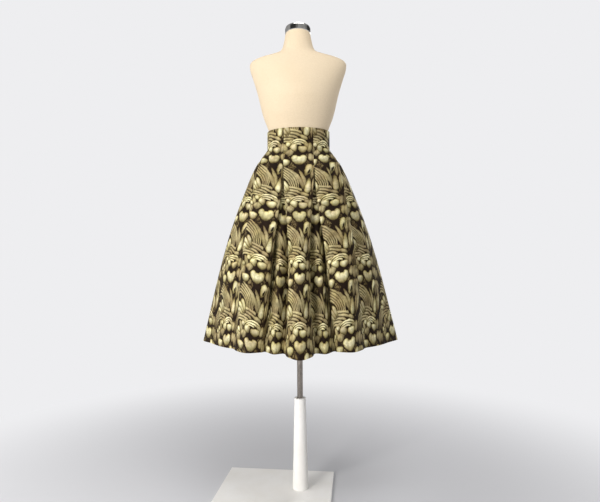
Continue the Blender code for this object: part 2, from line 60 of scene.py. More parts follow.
# The skirt's sections, as the solids have them
WALL = 1.4 * MM
LAYER_PITCH = 1.8 * MM
SEAM_GAP = 0.3 * MM
WAIST_HALF_WIDTH = 11.8 * CM
WAIST_HALF_DEPTH = 9.25 * CM
TIP_EASE = 1.0 * MM
SIDE_TIP_EASE = 0.9 * MM
CENTRE_TIP_EASE = 1.2 * MM
TOP_SIDE = 1.354
TOP_FRONT_RISE = -0.003
RELEASE_FRONT = 1.260
RELEASE_SIDE_RISE = 0.028
HEM = 0.568
HEM_CENTRE_DROP = 0.009
HEM_CENTRE_SPREAD = 4.2 * CM
LEVELS = {"waist": 0.0, "upper": 0.075, "hip": 0.2, "mid": 0.56, "hem": 1.0}
BACK_DEPTH = {"waist": 1.0, "upper": 1.0, "hip": 0.98, "mid": 0.95, "hem": 0.94}
FOLDS = [
    # name,           cloth, layer, upper x, y,      hip x, y,      mid x, y,       hem x, y
    ("centre",          0.0, 0, (0.00, 11.05),  (0.0, 14.1),   (0.0, 23.1),   (0.0, 33.8)),
    ("edge",            5.5, 1, (5.46, 10.41),  (5.1, 13.4),   (3.5, 20.4),   (3.7, 31.0)),
    ("inner_fold",     11.0, 2, (0.35, 10.45),  (1.0, 11.6),   (2.9, 15.2),   (5.0, 26.2)),
    ("underlay",       16.5, 2, (5.55, 9.75),   (5.7, 11.9),   (6.6, 18.2),   (8.3, 28.3)),
    ("inner_fold_2",   22.0, 1, (10.50, 8.25),  (10.3, 10.2),  (9.4, 14.2),   (11.2, 23.9)),
    ("edge_2",         27.5, 0, (5.67, 10.36),  (6.1, 13.1),   (9.5, 19.2),   (12.9, 25.0)),
    ("panel",          33.0, 0, (10.60, 8.90),  (11.6, 11.7),  (14.8, 19.6),  (17.5, 26.0)),
    ("side_edge",      38.5, 1, (14.40, 5.10),  (16.2, 8.8),   (19.3, 16.0),  (21.2, 21.6)),
    ("side_valley",    40.3, 1, (12.80, 6.05),  (14.0, 8.2),   (19.4, 12.5),  (22.9, 17.4)),
    ("side_turn",      41.8, 1, (11.40, 7.10),  (13.4, 7.5),   (21.6, 11.2),  (25.4, 15.4)),
    ("side_crest",     44.0, 2, (12.90, 5.10),  (16.2, 5.9),   (25.0, 8.6),   (28.9, 11.6)),
    ("side_dip",       46.6, 2, (15.00, 2.80),  (19.0, 3.2),   (27.6, 4.4),   (32.6, 5.8)),
    ("side_seam",      49.5, 2, (16.10, 0.00),  (20.2, 0.0),   (28.9, -0.4),  (37.0, -1.0)),
]
CLOTH_COLUMN, LAYER_COLUMN, FIRST_LEVEL_COLUMN = 1, 2, 3
FOLD_ROUND = 0.35
SIDE_LAG_CLOTH = (38.5, 42.5)
SIDE_LAG = 0.2
LAYER_FADE = (0.15, 0.45)
UNEVEN = [(3, 0.006, 0.6), (5, 0.005, 2.1)]
ARC_SAMPLES = 2001
MITRE_LIMIT = 0.6
INTERVALS = len(FOLDS) - 1
# Row of FOLDS from which the side flare grows
SIDE_EDGE_ROW = 7

# The cut, in centimetres: what each side seam flares, and where the back's own cloth starts
SIDE_FLARE = 19.1
BACK_START = 96.0

# How the edges are finished: how far seams turn in, and how high the hem is turned up
SEAM_ROLL = [0.9 * MM, 0.45 * MM, 0.1 * MM]
HEM_TURN_UP = 0.045
# How far the rounded edges stand past the wall at the top and at the hem
TOP_CROWN = 0.25 * MM
HEM_CROWN = 0.3 * MM
# Edges sharper than this stay sharp
CLOTH_SHARP = math.radians(65)
FORM_SHARP = math.radians(50)

# How finely the shown cloth is divided: along the cloth, and down it
CLOTH_STEP = 0.62
FOLD_OFFSETS = [0.12, 0.24, 0.36, 0.6]
FOLD_MARGIN = 0.2
WAIST_ROWS = list(np.linspace(0.0, 1.0, 7)[:-1])
FREE_ROWS = list(np.linspace(0.0, 1.0, 58))

# Creases: angle round the pole in degrees (0 right, -90 front), drift in degrees per metre
# down, half width in degrees, top and bottom heights, and depth in millimetres
CREASES = [
    # angle, drift, half width, top, bottom, depth
    (-157.0, 85.0, 3.2, 1.36, 1.12, -9.0),
    (-23.0, -85.0, 3.2, 1.36, 1.12, -9.0),
    (-52.0, -14.0, 5.0, 1.16, 0.66, -2.4),
    (-38.0, 10.0, 6.0, 1.02, 0.57, 2.2),
    (-127.0, 12.0, 5.5, 1.14, 0.62, -2.2),
    (-143.0, -9.0, 6.0, 1.00, 0.57, 2.4),
    (-90.0, 5.0, 3.6, 0.98, 0.60, 1.6),
    (-84.0, -18.0, 2.6, 1.20, 0.98, -1.0),
    (-97.0, 16.0, 2.4, 1.19, 1.02, -0.9),
    (-66.0, -8.0, 3.4, 0.88, 0.57, 1.8),
    (-113.0, 9.0, 3.2, 0.84, 0.57, 1.9),
    (-14.0, 8.0, 5.0, 1.05, 0.60, -2.0),
    (-165.0, -6.0, 5.0, 1.08, 0.58, -2.2),
    (12.0, -9.0, 5.5, 1.00, 0.57, 2.0),
    (169.0, 8.0, 5.0, 0.98, 0.57, 1.8),
    (48.0, 12.0, 5.5, 1.12, 0.62, -2.4),
    (64.0, -8.0, 4.5, 0.95, 0.57, 2.0),
    (88.0, 6.0, 3.4, 1.04, 0.60, 1.4),
    (118.0, 9.0, 4.5, 0.97, 0.57, 2.0),
    (134.0, -12.0, 5.5, 1.15, 0.64, -2.2),
]
# Share of the free length over which creases grow below the stitching
CREASE_START = 0.07
# Heights over which a crease fades in and out, and how far along the fade out its bottom lies
CREASE_FADE_IN = 0.12
CREASE_FADE_OUT = 0.10
CREASE_BOTTOM = 0.35

# The woven repeat, in centimetres across the cloth and down it
REPEAT_X, REPEAT_Y = 16.0, 22.4
# Heart row nearest the waist: centimetres below the top edge
FIRST_HEART = 12.3
# How a stroke's half width runs along it: powers of the way from its base and from its tip.
# An even power would give a second body behind the base, so there is none.
PROFILES = {
    "lobe": (1.6, 0.7),
    "plume": (2.1, 0.8),
    "leaf": (1.2, 1.2),
    "oval": (1.0, 1.0),
    "drop": (0.8, 2.2),
}
# How a strand of a fan runs, likewise, and how sharply it ends at its sides
STRAND_PROFILE = (0.7, 0.4)
STRAND_EDGE = 3.6
# Painted relief shade: the step up and to the left on the cloth, in centimetres, at which each stroke is read
# again, so that across a stroke its upper-left edges are painted lighter and its lower-right edges darker, as
# light from above would fall on a raised stroke
PAINTED_RELIEF_STEP = (-0.22, 0.42, 0.0)
# Outside a stroke its powers give 0 on its middle line, so every stroke is lowered by this much
STROKE_FLOOR = 0.06
# Strokes by cluster, from the heart's middle in centimetres with y up the cloth
CLUSTERS = [
    # the heart, the buds above it and the leaves beside it
    ((0.0, 1.0), [
        # profile, tone, x, y, angle, length, width, bend
        ("lobe", "light", 0.2, -2.4, 117.0, 4.8, 2.5, -0.4),
        ("lobe", "light", 0.25, -2.4, 64.0, 4.7, 2.5, 0.4),
        ("lobe", "light", 0.2, -2.5, 90.0, 4.1, 3.6, 0.0),
        ("lobe", "light", 1.3, 2.6, 86.0, 3.0, 3.6, 0.0),
        ("lobe", "light", -0.9, 3.2, 112.0, 3.2, 2.8, 0.0),
        ("lobe", "mid", -2.5, 1.5, 124.0, 2.9, 2.5, 0.0),
        ("oval", "mid", 3.8, -0.6, 86.0, 3.6, 2.1, 0.0),
        ("oval", "mid", 3.5, 3.2, 76.0, 3.7, 2.0, 0.2),
        ("lobe", "light", -4.3, -3.1, 92.0, 3.4, 4.0, 0.0),
        ("oval", "mid", -5.5, 0.4, 96.0, 2.9, 2.5, 0.0),
        ("leaf", "mid", -4.0, 2.8, 104.0, 4.2, 1.7, 0.4),
        ("lobe", "mid", 5.6, -2.6, 98.0, 5.1, 2.5, -0.4),
    ]),
    # under the heart: two curled leaves, a swelling leaf and the stem's foot
    ((2.6, -8.6), [
        ("lobe", "light", 1.8, -6.9, 66.0, 5.4, 2.7, 0.5),
        ("lobe", "mid", 3.8, -8.5, 80.0, 6.6, 2.3, -0.3),
        ("leaf", "mid", 1.5, -12.2, 92.0, 9.4, 1.7, 4.8),
        ("leaf", "mid", 2.1, -11.8, 90.0, 8.2, 1.3, 2.2),
        ("drop", "light", 2.7, -13.4, 86.0, 7.4, 2.3, -0.1),
        ("plume", "mid", 4.4, -14.9, 86.0, 7.4, 1.6, -0.3),
        ("leaf", "mid", 0.1, -12.9, -24.0, 3.7, 1.5, -0.3),
        ("leaf", "mid", -1.4, -17.1, 62.0, 3.7, 1.6, -0.4),
        ("leaf", "mid", 3.7, -17.7, 124.0, 3.3, 1.6, 0.4),
        ("oval", "dark", 2.5, -5.9, 66.0, 2.5, 0.9, 0.1),
        ("oval", "dark", 4.7, -6.0, 82.0, 3.0, 0.5, 0.0),
    ]),
    # petals in the hollow of the great plume, and the leaves behind it
    ((-6.0, -10.0), [
        ("plume", "light", -2.6, -13.5, 112.0, 5.5, 2.0, 0.5),
        ("plume", "light", -2.8, -13.7, 134.0, 5.7, 2.0, 0.6),
        ("plume", "light", -3.1, -13.9, 156.0, 5.3, 1.9, 0.4),
        ("plume", "mid", -3.2, -14.3, 178.0, 4.8, 1.7, 0.2),
        ("plume", "mid", -9.3, -12.8, 92.0, 9.5, 2.4, 0.8),
        ("plume", "mid", -7.8, -6.1, 118.0, 4.4, 2.0, 0.6),
        ("leaf", "light", -10.6, -13.2, 84.0, 7.0, 1.2, -0.7),
    ]),
    # berries under the fan's edge and a round bud
    ((11.0, -18.0), [
        ("oval", "light", 8.0, -20.6, 30.0, 1.9, 2.0, 0.0),
        ("oval", "light", 9.4, -19.6, 34.0, 1.9, 2.0, 0.0),
        ("oval", "mid", 10.7, -18.5, 44.0, 1.9, 2.0, 0.0),
        ("oval", "light", 11.8, -17.0, 52.0, 1.9, 2.0, 0.0),
        ("oval", "mid", 13.1, -15.9, 70.0, 1.7, 1.7, 0.0),
        ("lobe", "mid", 9.6, -23.5, 84.0, 2.9, 3.2, 0.0),
        ("leaf", "mid", 12.5, -21.1, 60.0, 4.6, 2.0, 0.6),
        ("lobe", "mid", 7.0, -24.6, 100.0, 3.5, 2.5, 0.0),
    ]),
]
# Fans of bowed strands round one middle: radii at the base and at the tips, in centimetres
FANS = [
    # tone, x, y, start, sweep, base radii in and out, tip radii in and out, strands, stagger
    ("mid", -7.5, -10.2, -26.0, 118.0, (5.2, 7.5), (2.6, 8.3), 5, 0.05),
    ("mid", 12.6, -19.4, 188.0, -116.0, (5.4, 7.8), (3.4, 9.0), 5, -0.05),
    ("light", -0.2, -18.2, 150.0, -96.0, (2.0, 3.6), (1.6, 4.2), 3, -0.08),
]

# The dress form: height, half width, depth to the front, depth to the back, in centimetres
FORM_SECTIONS = [
    (99.0, 14.6, 9.5, 9.6),
    (104.0, 15.4, 10.0, 10.1),
    (112.0, 15.8, 10.3, 10.4),
    (117.0, 15.0, 9.9, 10.0),
    (122.0, 12.7, 9.1, 9.1),
    (126.0, 11.2, 8.55, 8.55),
    (131.0, 11.2, 8.6, 8.6),
    (135.6, 11.24, 8.64, 8.64),
    (138.0, 11.9, 9.7, 8.9),
    (140.5, 12.9, 11.0, 9.2),
    (143.5, 13.8, 12.0, 9.5),
    (146.5, 14.5, 12.4, 9.7),
    (149.5, 15.2, 11.9, 9.9),
    (153.0, 16.2, 10.6, 9.8),
    (156.5, 17.3, 9.2, 9.3),
    (159.0, 18.1, 8.2, 8.7),
    (161.0, 18.3, 7.3, 7.9),
    (162.2, 17.6, 6.8, 7.3),
    (163.2, 15.4, 6.5, 6.9),
    (163.9, 12.5, 6.2, 6.5),
    (164.6, 9.6, 6.0, 6.2),
    (165.5, 7.4, 5.8, 5.9),
    (167.3, 6.0, 5.5, 5.5),
    (170.2, 5.2, 5.0, 5.0),
    (172.9, 4.7, 4.7, 4.7),
]
FORM_SIDES = 144
FORM_SOCKET_RADIUS = 11.4 * MM
FORM_SOCKET_TOP = 1.06
FORM_SEAMS = [-90.0, -62.0, -118.0, 0.0, 180.0, 62.0, 90.0, 118.0]
# A seam's half width in degrees and its depth as a share of the radius, then the cover's rows
FORM_SEAM_HALF_WIDTH = 1.3
FORM_SEAM_DEPTH = 0.0045
FORM_ROWS = 110

# The camera: sensor in millimetres, then the photo's width, focal length and rise in its pixels
SENSOR = 36.0
PHOTO_WIDTH = 600.0
FOCAL_LENGTH = 470.0
RISE = 15.0
CAMERA_PLACE = (0.0027, -1.786, 0.85)
CAMERA_ROLL = math.radians(0.35)

# The room's light, and dark flags round it: share of the way round from behind, and brightness
ROOM_LIGHT = 0.44
FLAGS = [
    (0.00, 0.9), (0.05, 0.1), (0.20, 0.1), (0.22, 1.0), (0.40, 1.0), (0.42, 0.1), (0.495, 0.1),
    (0.505, 1.0), (0.565, 1.0), (0.59, 0.12), (0.75, 0.12), (0.79, 0.9), (1.00, 0.9),
]
# How steeply a direction rises where the flags begin to end, and where they have ended
FLAG_TIPS = (0.6, 0.8)
LIGHTS = [
    # name, place, aim, size, power, colour
    ("key", (-1.5, -2.0, 1.05), (0.0, 0.0, 0.6), (1.1, 1.0), 50.0, (1.0, 0.985, 0.955)),
    ("top", (0.3, -0.9, 3.2), (0.0, 0.0, 0.3), (1.4, 1.4), 26.0, (1.0, 1.0, 1.0)),
    ("left", (-2.0, -0.6, 1.6), (0.0, 0.0, 0.9), (1.0, 1.6), 9.0, (1.0, 1.0, 1.0)),
    ("back", (1.4, 2.2, 1.9), (0.0, 0.0, 0.9), (1.4, 1.2), 22.0, (1.0, 1.0, 1.0)),
]
# How far the floor reaches, and how far out it begins and ends to fade into the walls
FLOOR_REACH = 40.0
FLOOR_FADE = (0.5, 1.9)


# Shader helpers


def linear(red, green, blue):
    """A colour given as it looks on a screen, 0 to 255, in linear light."""
    def one(value):
        share = value / 255
        return share / 12.92 if share <= 0.04045 else ((share + 0.055) / 1.055) ** 2.4
    return (one(red), one(green), one(blue), 1.0)


class Nodes:
    """Short calls that add nodes to a material and return their outputs."""

    def __init__(self, name):
        self.material = bpy.data.materials.new(name)
        self.material.use_nodes = True
        self.tree = self.material.node_tree
        self.shader = self.tree.nodes["Principled BSDF"]

    def feed(self, socket, value):
        if isinstance(value, bpy.types.NodeSocket):
            self.tree.links.new(value, socket)
        elif value is not None:
            socket.default_value = value

    def math(self, operation, *values):
        node = self.tree.nodes.new("ShaderNodeMath")
        node.operation = operation
        for socket, value in zip(node.inputs, values):
            self.feed(socket, value)
        return node.outputs[0]

    def vector(self, operation, *values, out="Vector"):
        node = self.tree.nodes.new("ShaderNodeVectorMath")
        node.operation = operation
        for socket, value in zip(node.inputs, values):
            self.feed(socket, value)
        return node.outputs[out]

    def noise(self, where, scale, detail=2.0, roughness=0.5, out="Fac"):
        node = self.tree.nodes.new("ShaderNodeTexNoise")
        self.feed(node.inputs["Vector"], where)
        node.inputs["Scale"].default_value = scale
        node.inputs["Detail"].default_value = detail
        node.inputs["Roughness"].default_value = roughness
        return node.outputs[out]

    def ramp(self, value, stops):
        node = self.tree.nodes.new("ShaderNodeValToRGB")
        elements = node.color_ramp.elements
        while len(elements) < len(stops):
            elements.new(1.0)
        for element, (place, colour) in zip(elements, stops):
            element.position = place
            element.color = colour
        self.feed(node.inputs["Fac"], value)
        return node.outputs["Color"]

    def mix(self, share, first, second, blend="MIX"):
        node = self.tree.nodes.new("ShaderNodeMix")
        node.data_type = "RGBA"
        node.blend_type = blend
        self.feed(node.inputs["Factor"], share)
        self.feed(node.inputs[6], first)
        self.feed(node.inputs[7], second)
        return node.outputs[2]

    def between(self, value, low, high, new_low=0.0, new_high=1.0):
        node = self.tree.nodes.new("ShaderNodeMapRange")
        node.interpolation_type = "SMOOTHSTEP"
        for socket, number in zip(node.inputs, (value, low, high, new_low, new_high)):
            self.feed(socket, number)
        return node.outputs[0]

    def place(self, kind):
        return self.tree.nodes.new("ShaderNodeTexCoord").outputs[kind]

    def finish(self, roughness, colour=None, height=None, distance=0.0003, metallic=0.0, specular=0.5):
        self.shader.inputs["Metallic"].default_value = metallic
        self.shader.inputs["Specular IOR Level"].default_value = specular
        self.feed(self.shader.inputs["Roughness"], roughness)
        self.feed(self.shader.inputs["Base Color"], colour)
        if height is not None:
            bump = self.tree.nodes.new("ShaderNodeBump")
            bump.inputs["Distance"].default_value = distance
            self.feed(bump.inputs["Height"], height)
            self.tree.links.new(bump.outputs["Normal"], self.shader.inputs["Normal"])
        return self.material


def swell(nodes, share, base, tip):
    """A body that is 0 at both ends and 1 at its widest, lowered by STROKE_FLOOR."""
    peak = (base + tip) ** (base + tip) / (base**base * tip**tip)
    rest = nodes.math("SUBTRACT", 1.0, share)
    from_base = nodes.math("POWER", share, base) if base != 1.0 else share
    from_tip = nodes.math("POWER", rest, tip) if tip != 1.0 else rest
    return nodes.math("MULTIPLY_ADD", nodes.math("MULTIPLY", from_base, from_tip), peak, -STROKE_FLOOR)


def stroke(nodes, where, profile, x, y, angle, length, width, bend):
    """How deep a point lies in one bowed stroke: above 0 inside it, near 1 at its widest."""
    turn = math.radians(angle)
    cos, sin = math.cos(turn), math.sin(turn)
    half = width / 2
    to_tip = (cos / length, sin / length, -(x * cos + y * sin) / length)
    to_left = (-sin / half, cos / half, (x * sin - y * cos) / half)
    along = nodes.vector("DOT_PRODUCT", where, to_tip, out="Value")
    across = nodes.vector("DOT_PRODUCT", where, to_left, out="Value")
    if bend:
        across = nodes.math("MULTIPLY_ADD", nodes.math("MULTIPLY", along, along), -bend / half, across)
    body = swell(nodes, along, *PROFILES[profile])
    return nodes.math("SUBTRACT", body, nodes.math("MULTIPLY", across, across))


def fan(nodes, where, x, y, start, sweep, base, tip, strands, stagger):
    """How deep a point lies in a fan of bowed strands that share one middle."""
    turn = math.radians(start)
    side = math.copysign(1.0, sweep)
    cos, sin = math.cos(turn), math.sin(turn)
    from_middle = nodes.vector("SUBTRACT", where, (x, y, 1.0))
    ahead = nodes.vector("DOT_PRODUCT", from_middle, (cos, sin, 0.0), out="Value")
    beside = nodes.vector("DOT_PRODUCT", from_middle, (-sin * side, cos * side, 0.0), out="Value")
    share = nodes.math("MULTIPLY", nodes.math("ARCTAN2", beside, ahead), 1.0 / math.radians(abs(sweep)))
    radius = nodes.vector("LENGTH", from_middle, out="Value")
    inner = nodes.math("MULTIPLY_ADD", share, tip[0] - base[0], base[0])
    pitch_base = (base[1] - base[0]) / strands
    pitch_tip = (tip[1] - tip[0]) / strands
    pitch = nodes.math("MAXIMUM", nodes.math("MULTIPLY_ADD", share, pitch_tip - pitch_base, pitch_base), 0.05)
    place = nodes.math("DIVIDE", nodes.math("SUBTRACT", radius, inner), pitch)
    strand = nodes.math("MINIMUM", nodes.math("MAXIMUM", nodes.math("FLOOR", place), 0.0), strands - 1.0)
    off = nodes.math("SUBTRACT", nodes.math("SUBTRACT", place, strand), 0.5)
    share = nodes.math("MULTIPLY", share, nodes.math("MULTIPLY_ADD", strand, stagger, 1.0))
    body = swell(nodes, share, *STRAND_PROFILE)
    return nodes.math("SUBTRACT", body, nodes.math("MULTIPLY", nodes.math("MULTIPLY", off, off), STRAND_EDGE))


def wrapped(nodes, cloth, middle):
    """The cloth's coordinates from the middle of the nearest repeat of one cluster."""
    half = (REPEAT_X / 2, REPEAT_Y / 2)
    local = nodes.vector("SUBTRACT", cloth, (*middle, 0.0))
    return nodes.vector("WRAP", local, (half[0], half[1], 2.0), (-half[0], -half[1], 0.0))


def woven_strokes(nodes, cloth):
    """The greatest depth in any stroke of each tone."""
    deepest = {}

    def keep(tone, depth):
        deepest[tone] = nodes.math("MAXIMUM", deepest[tone], depth) if tone in deepest else depth

    for middle, strokes in CLUSTERS:
        local = wrapped(nodes, cloth, middle)
        for profile, tone, x, y, *shape in strokes:
            keep(tone, stroke(nodes, local, profile, x - middle[0], y - middle[1], *shape))
    for tone, x, y, start, sweep, base, tip, strands, stagger in FANS:
        turn = math.radians(start + sweep / 2)
        reach = (base[1] + tip[1]) / 3
        middle = (x + reach * math.cos(turn), y + reach * math.sin(turn))
        local = wrapped(nodes, cloth, middle)
        keep(tone, fan(nodes, local, x - middle[0], y - middle[1], start, sweep, base, tip, strands, stagger))
    return deepest["light"], deepest["mid"], deepest["dark"]


def brocade():
    """Gold strokes on a dark brown ground, with painted relief highlight and shade on the strokes, and the
    fine ribs of the weave.
    """
    nodes = Nodes("brocade")
    flat = nodes.vector("MULTIPLY_ADD", nodes.place("UV"), (100.0, -100.0, 0.0), (0.0, FIRST_HEART, 1.0))
    wander = nodes.noise(flat, 0.9, 1.0, out="Color")
    shift = nodes.vector("MULTIPLY_ADD", wander, (0.5, 0.5, 0.0), (-0.25, -0.25, 0.0))
    cloth = nodes.vector("ADD", flat, shift)
    light, mid, dark = woven_strokes(nodes, cloth)
    # Every stroke read again a step up and to the left on the cloth, for the painted relief highlight and
    # shade
    light_above, mid_above, _ = woven_strokes(nodes, nodes.vector("ADD", cloth, PAINTED_RELIEF_STEP))

    deepest = linear(32, 19, 7)
    drift = nodes.noise(flat, 0.32, 1.0, out="Color")
    cells = nodes.tree.nodes.new("ShaderNodeTexVoronoi")
    cells.feature = "DISTANCE_TO_EDGE"
    cells.inputs["Scale"].default_value = 0.8
    swept = nodes.vector("MULTIPLY_ADD", drift, (5.0, 3.0, 0.0), cloth)
    nodes.feed(cells.inputs["Vector"], nodes.vector("MULTIPLY", swept, (1.5, 0.85, 1.0)))
    filler = nodes.ramp(
        cells.outputs["Distance"],
        [
            (0.02, deepest),
            (0.09, linear(84, 70, 43)),
            (0.2, linear(104, 90, 58)),
            (0.4, linear(136, 121, 82)),
        ],
    )
    nearest = nodes.math("MAXIMUM", light, mid)
    clear = nodes.between(nearest, -0.34, -0.13, 1.0, 0.0)
    ground = nodes.mix(clear, deepest, filler)

    mid_colour = nodes.ramp(
        mid,
        [
            (0.0, linear(44, 31, 16)),
            (0.16, linear(112, 98, 64)),
            (0.42, linear(146, 132, 94)),
            (0.9, linear(176, 164, 122)),
        ],
    )
    light_colour = nodes.ramp(
        light,
        [
            (0.0, linear(48, 34, 17)),
            (0.16, linear(128, 114, 72)),
            (0.45, linear(188, 177, 126)),
            (0.85, linear(226, 218, 176)),
        ],
    )
    # Painted highlight and shade: each stroke lighter at its upper-left edge and darker at its lower right,
    # as if lit from above
    mid_painted_relief = nodes.between(nodes.math("SUBTRACT", mid, mid_above), -0.7, 0.6, 0.55, 1.3)
    light_painted_relief = nodes.between(nodes.math("SUBTRACT", light, light_above), -0.7, 0.6, 0.5, 1.22)
    mid_colour = nodes.mix(1.0, mid_colour, mid_painted_relief, "MULTIPLY")
    light_colour = nodes.mix(1.0, light_colour, light_painted_relief, "MULTIPLY")
    colour = nodes.mix(nodes.between(mid, -0.05, 0.05), ground, mid_colour)
    colour = nodes.mix(nodes.between(light, -0.05, 0.05), colour, light_colour)
    colour = nodes.mix(nodes.between(dark, 0.0, 0.5), colour, linear(44, 36, 20))

    broad = nodes.noise(flat, 0.16, 2.0)
    colour = nodes.mix(
        nodes.between(broad, 0.42, 0.64, 0.0, 0.32), colour, linear(196, 186, 104), "MULTIPLY"
    )
    dusky = nodes.noise(flat, 0.23, 1.0)
    colour = nodes.mix(nodes.between(dusky, 0.44, 0.66, 0.0, 0.5), colour, linear(206, 188, 184), "MULTIPLY")
    patchy = nodes.noise(cloth, 0.55, 3.0, 0.6)
    shade = nodes.between(patchy, 0.3, 0.68, 0.66, 1.12)
    colour = nodes.mix(1.0, colour, shade, "MULTIPLY")

    ribs = nodes.tree.nodes.new("ShaderNodeTexWave")
    ribs.bands_direction = "Y"
    ribs.inputs["Scale"].default_value = 3.4
    ribs.inputs["Distortion"].default_value = 1.6
    ribs.inputs["Detail"].default_value = 2.0
    ribs.inputs["Detail Scale"].default_value = 2.4
    nodes.feed(ribs.inputs["Vector"], flat)
    threads = nodes.noise(nodes.vector("MULTIPLY", flat, (14.0, 5.0, 1.0)), 1.0, 2.0)
    weave = nodes.math("MULTIPLY_ADD", threads, 0.6, nodes.math("MULTIPLY", ribs.outputs["Fac"], 0.4))
    colour = nodes.mix(1.0, colour, nodes.between(weave, 0.2, 0.8, 0.84, 1.12), "MULTIPLY")

    relief = nodes.math("MAXIMUM", nearest, 0.0)
    height = nodes.math("MULTIPLY_ADD", weave, 0.35, relief)
    nodes.shader.inputs["Sheen Weight"].default_value = 0.05
    nodes.shader.inputs["Sheen Roughness"].default_value = 0.45
    nodes.shader.inputs["Sheen Tint"].default_value = linear(226, 214, 170)
    rough = nodes.between(nearest, 0.0, 0.8, 0.72, 0.5)
    return nodes.finish(rough, colour, height, 0.5 * MM, specular=0.12)


def lining():
    """A plain dark satin, seen only from below."""
    nodes = Nodes("lining")
    place = nodes.place("UV")
    fine = nodes.noise(nodes.vector("MULTIPLY", place, (1500.0, 420.0, 1.0)), 1.0, 2.0)
    slow = nodes.noise(place, 14.0, 2.0)
    colour = nodes.ramp(slow, [(0.3, linear(52, 41, 30)), (0.7, linear(70, 57, 42))])
    return nodes.finish(nodes.between(fine, 0.3, 0.7, 0.42, 0.58), colour, fine, 0.1 * MM, specular=0.4)


def linen():
    """The form's close-woven cream cover, a little darker here and there at random."""
    nodes = Nodes("linen_cover")
    place = nodes.place("Object")
    warp = nodes.noise(nodes.vector("MULTIPLY", place, (1400.0, 1400.0, 160.0)), 1.0, 2.0)
    weft = nodes.noise(nodes.vector("MULTIPLY", place, (160.0, 160.0, 1500.0)), 1.0, 2.0)
    weave = nodes.math("MULTIPLY_ADD", warp, 0.5, nodes.math("MULTIPLY", weft, 0.5))
    slow = nodes.noise(place, 7.0, 3.0)
    colour = nodes.ramp(weave, [(0.3, linear(206, 187, 158)), (0.7, linear(226, 209, 182))])
    colour = nodes.mix(nodes.between(slow, 0.35, 0.75, 0.0, 0.3), colour, linear(212, 190, 156))
    return nodes.finish(nodes.between(weave, 0.3, 0.7, 0.78, 0.9), colour, weave, 0.25 * MM, specular=0.25)


def steel(name, light, dark, rough):
    """Steel drawn or turned along one way, with fine lines in its roughness."""
    nodes = Nodes(name)
    place = nodes.place("Object")
    lines = nodes.noise(nodes.vector("MULTIPLY", place, (900.0, 900.0, 9.0)), 1.0, 2.0)
    spots = nodes.noise(place, 60.0, 3.0, 0.6)
    colour = nodes.ramp(spots, [(0.3, dark), (0.7, light)])
    surface = nodes.between(lines, 0.25, 0.75, rough * 0.6, rough * 1.5)
    return nodes.finish(surface, colour, lines, 0.03 * MM, metallic=1.0)


def paint():
    """White powder coat, with a few grimy scuffs here and there."""
    nodes = Nodes("powder_coat")
    place = nodes.place("Object")
    skin = nodes.noise(place, 900.0, 2.0)
    slow = nodes.noise(place, 9.0, 3.0, 0.6)
    colour = nodes.ramp(slow, [(0.3, linear(245, 242, 237)), (0.7, linear(252, 250, 247))])
    scuff = nodes.between(nodes.noise(place, 38.0, 5.0, 0.65), 0.6, 0.75, 0.0, 0.16)
    colour = nodes.mix(scuff, colour, linear(196, 186, 176))
    return nodes.finish(nodes.between(slow, 0.3, 0.7, 0.32, 0.44), colour, skin, 0.06 * MM)


def brass():
    """The zip's dark plated metal, rubbed lighter here and there."""
    nodes = Nodes("zip_brass")
    place = nodes.place("Object")
    rub = nodes.noise(place, 260.0, 3.0, 0.6)
    colour = nodes.ramp(rub, [(0.35, linear(112, 98, 70)), (0.65, linear(156, 138, 100))])
    return nodes.finish(nodes.between(rub, 0.3, 0.7, 0.42, 0.26), colour, rub, 0.03 * MM, metallic=1.0)


# The skirt


def smooth(share):
    share = np.clip(share, 0.0, 1.0)
    return share * share * (3 - 2 * share)


def hermite(s, span, here, there, slope_here, slope_there):
    """A cubic from here to there with the given slopes, read at the share s of the span."""
    return (
        (2 * s**3 - 3 * s**2 + 1) * here
        + (s**3 - 2 * s**2 + s) * span * slope_here
        + (3 * s**2 - 2 * s**3) * there
        + (s**3 - s**2) * span * slope_there
    )


def calm_tangents(values, spans):
    """Slopes at each place, none so steep that a curve overshoots between the values."""
    slopes = np.diff(values, axis=0) / spans
    agree = slopes[:-1] * slopes[1:] > 0
    joined = np.where(agree, slopes[:-1] + slopes[1:], 1.0)
    between = np.where(agree, 2 * slopes[:-1] * slopes[1:] / joined, 0.0)
    return np.concatenate([slopes[:1], between, slopes[-1:]])


def ellipse_by_arc(half_width, half_depth):
    """A quarter of an ellipse: how far along it each angle lies."""
    angle = np.linspace(0.0, math.pi / 2, ARC_SAMPLES)
    x = half_width * np.sin(angle)
    y = half_depth * np.cos(angle)
    arc = np.concatenate([[0.0], np.cumsum(np.hypot(np.diff(x), np.diff(y)))])
    return arc, angle


def waist_arcs():
    """Each row of FOLDS with its way along the waist, the rows between folds spread evenly."""
    arc, angle = ellipse_by_arc(WAIST_HALF_WIDTH - WALL / 2, WAIST_HALF_DEPTH - WALL / 2)
    quarter = arc[-1]
    edge = FOLDS[1][CLOTH_COLUMN] * CM
    panel = (edge + quarter) / 2
    named = {
        "centre": 0.0,
        "edge": edge - TIP_EASE,
        "inner_fold": CENTRE_TIP_EASE,
        "underlay": edge,
        "inner_fold_2": panel - TIP_EASE,
        "edge_2": edge + TIP_EASE,
        "panel": panel,
        "side_edge": quarter - SIDE_TIP_EASE,
        "side_crest": panel + TIP_EASE,
        "side_seam": quarter,
    }
    known = [(row[CLOTH_COLUMN], named[row[0]]) for row in FOLDS if row[0] in named]
    cloth = [pair[0] for pair in known]
    way = [pair[1] for pair in known]
    return [float(np.interp(row[CLOTH_COLUMN], cloth, way)) for row in FOLDS], arc, angle


